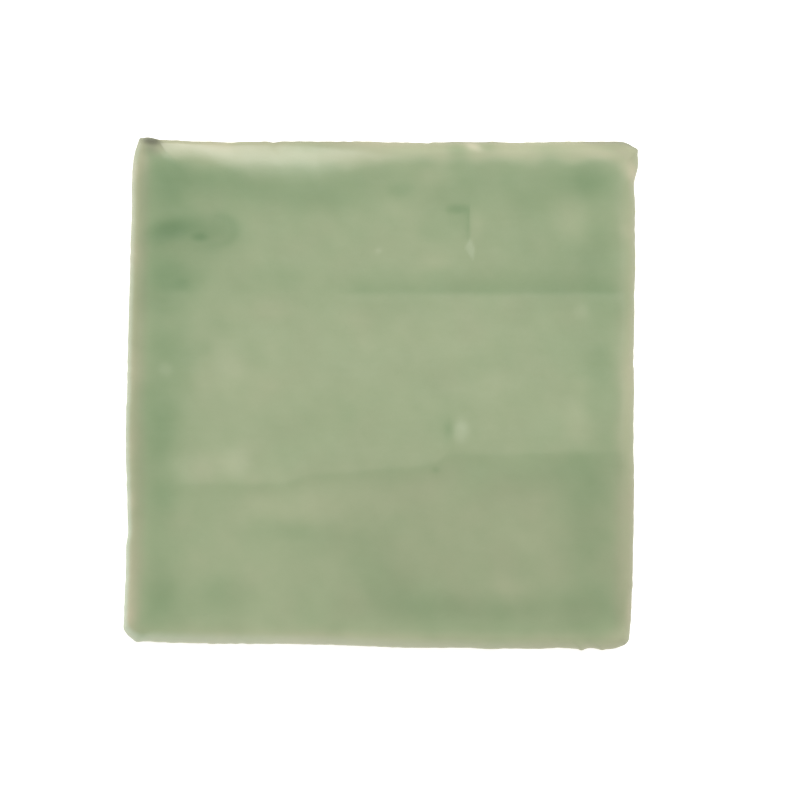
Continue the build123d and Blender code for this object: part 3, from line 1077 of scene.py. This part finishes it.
# Four quarters between the opening's corners and the table's
corners = [(-1, -1), (1, -1), (1, 1), (-1, 1)]
table_points = []
for half in (OPENING_HALF, TABLE_HALF):
    table_points += [(a * half, b * half, TABLE_LEVEL) for a, b in corners]
quarters = [(k, 4 + k, 4 + (k + 1) % 4, (k + 1) % 4) for k in range(4)]
table_mesh = bpy.data.meshes.new("floor")
table_mesh.from_pydata(table_points, [], quarters)
white, _, white_shader = new_material("white_table")
for name, value in TABLE_LOOKS.items():
    white_shader.inputs[name].default_value = value
table_mesh.materials.append(white)
floor = put_in_scene("floor", table_mesh)
print("opening in the table, mm:", 2 * OPENING_HALF / MM)

# %% Sky and strips of light
SKY = 0.608
STRIP_DISTANCE, STRIP_SIZE = 1.3, (1.3, 0.32)  # metres

# Degrees from the zenith, degrees from the tile's head round to its right, and radiance
STRIPS = {"bright_strip": (29, 10, 6.4), "dim_strip": (15, 10, 1.4)}

world = bpy.data.worlds.new("sky")
world.use_nodes = True
background = world.node_tree.nodes["Background"]
background.inputs["Color"].default_value = WHITE
background.inputs["Strength"].default_value = SKY
bpy.context.scene.world = world

# Each strip faces the tile, and its power is radiance * pi * area
for name, (from_zenith, heading, radiance) in STRIPS.items():
    tilt, turn = np.radians(from_zenith), np.radians(heading)
    light = bpy.data.lights.new(name, "AREA")
    light.shape = "RECTANGLE"
    light.size, light.size_y = STRIP_SIZE
    light.energy = radiance * np.pi * STRIP_SIZE[0] * STRIP_SIZE[1]
    strip = put_in_scene(name, light)
    flat = np.sin(tilt) * STRIP_DISTANCE
    strip.location = (flat * np.sin(turn), flat * np.cos(turn), np.cos(tilt) * STRIP_DISTANCE)
    strip.rotation_euler = (-tilt, 0, -turn)
    strip.visible_camera = False
    print(name, "watts:", round(light.energy, 2))

# %% [markdown]
# ## Camera
# The photograph looks straight down on the tile. Its frame is 800 pixels wide, of which the tile
# takes up 506, so the frame is 158 mm wide at the face. The tile is a little left of the frame's
# middle and above it, and turned a little clockwise. A long lens keeps its sides out of sight.

# %% Look straight down with a long lens
FRAME_PIXELS = 800
TILE_SIDE_PIXELS = 506
TILE_LEFT_OF_MIDDLE, TILE_ABOVE_MIDDLE = 20.0, 6.75  # pixels
TILE_TURN = 0.6  # degrees clockwise
CAMERA_HEIGHT = 1.4  # metres above the tile's widest level
FARTHEST_SEEN = 20  # metres
SENSOR = 36.0

mm_to_pixel = TILE_SIDE_PIXELS / (2 * HALF)
frame_width = FRAME_PIXELS / mm_to_pixel * MM
turned = np.radians(TILE_TURN)
right, up = TILE_LEFT_OF_MIDDLE / mm_to_pixel * MM, -TILE_ABOVE_MIDDLE / mm_to_pixel * MM
camera = bpy.data.cameras.new("camera")
camera.sensor_width = SENSOR
camera.lens = SENSOR * CAMERA_HEIGHT / frame_width
camera.clip_end = FARTHEST_SEEN
stand = put_in_scene("camera", camera)
stand.location = (
    right * np.cos(turned) - up * np.sin(turned),
    right * np.sin(turned) + up * np.cos(turned),
    CAMERA_HEIGHT + (LEVEL - ROLL) * MM,
)
stand.rotation_euler = (0, 0, turned)
bpy.context.scene.camera = stand
bpy.context.scene.view_settings.view_transform = "Standard"
print("lens, mm:", round(camera.lens, 1))
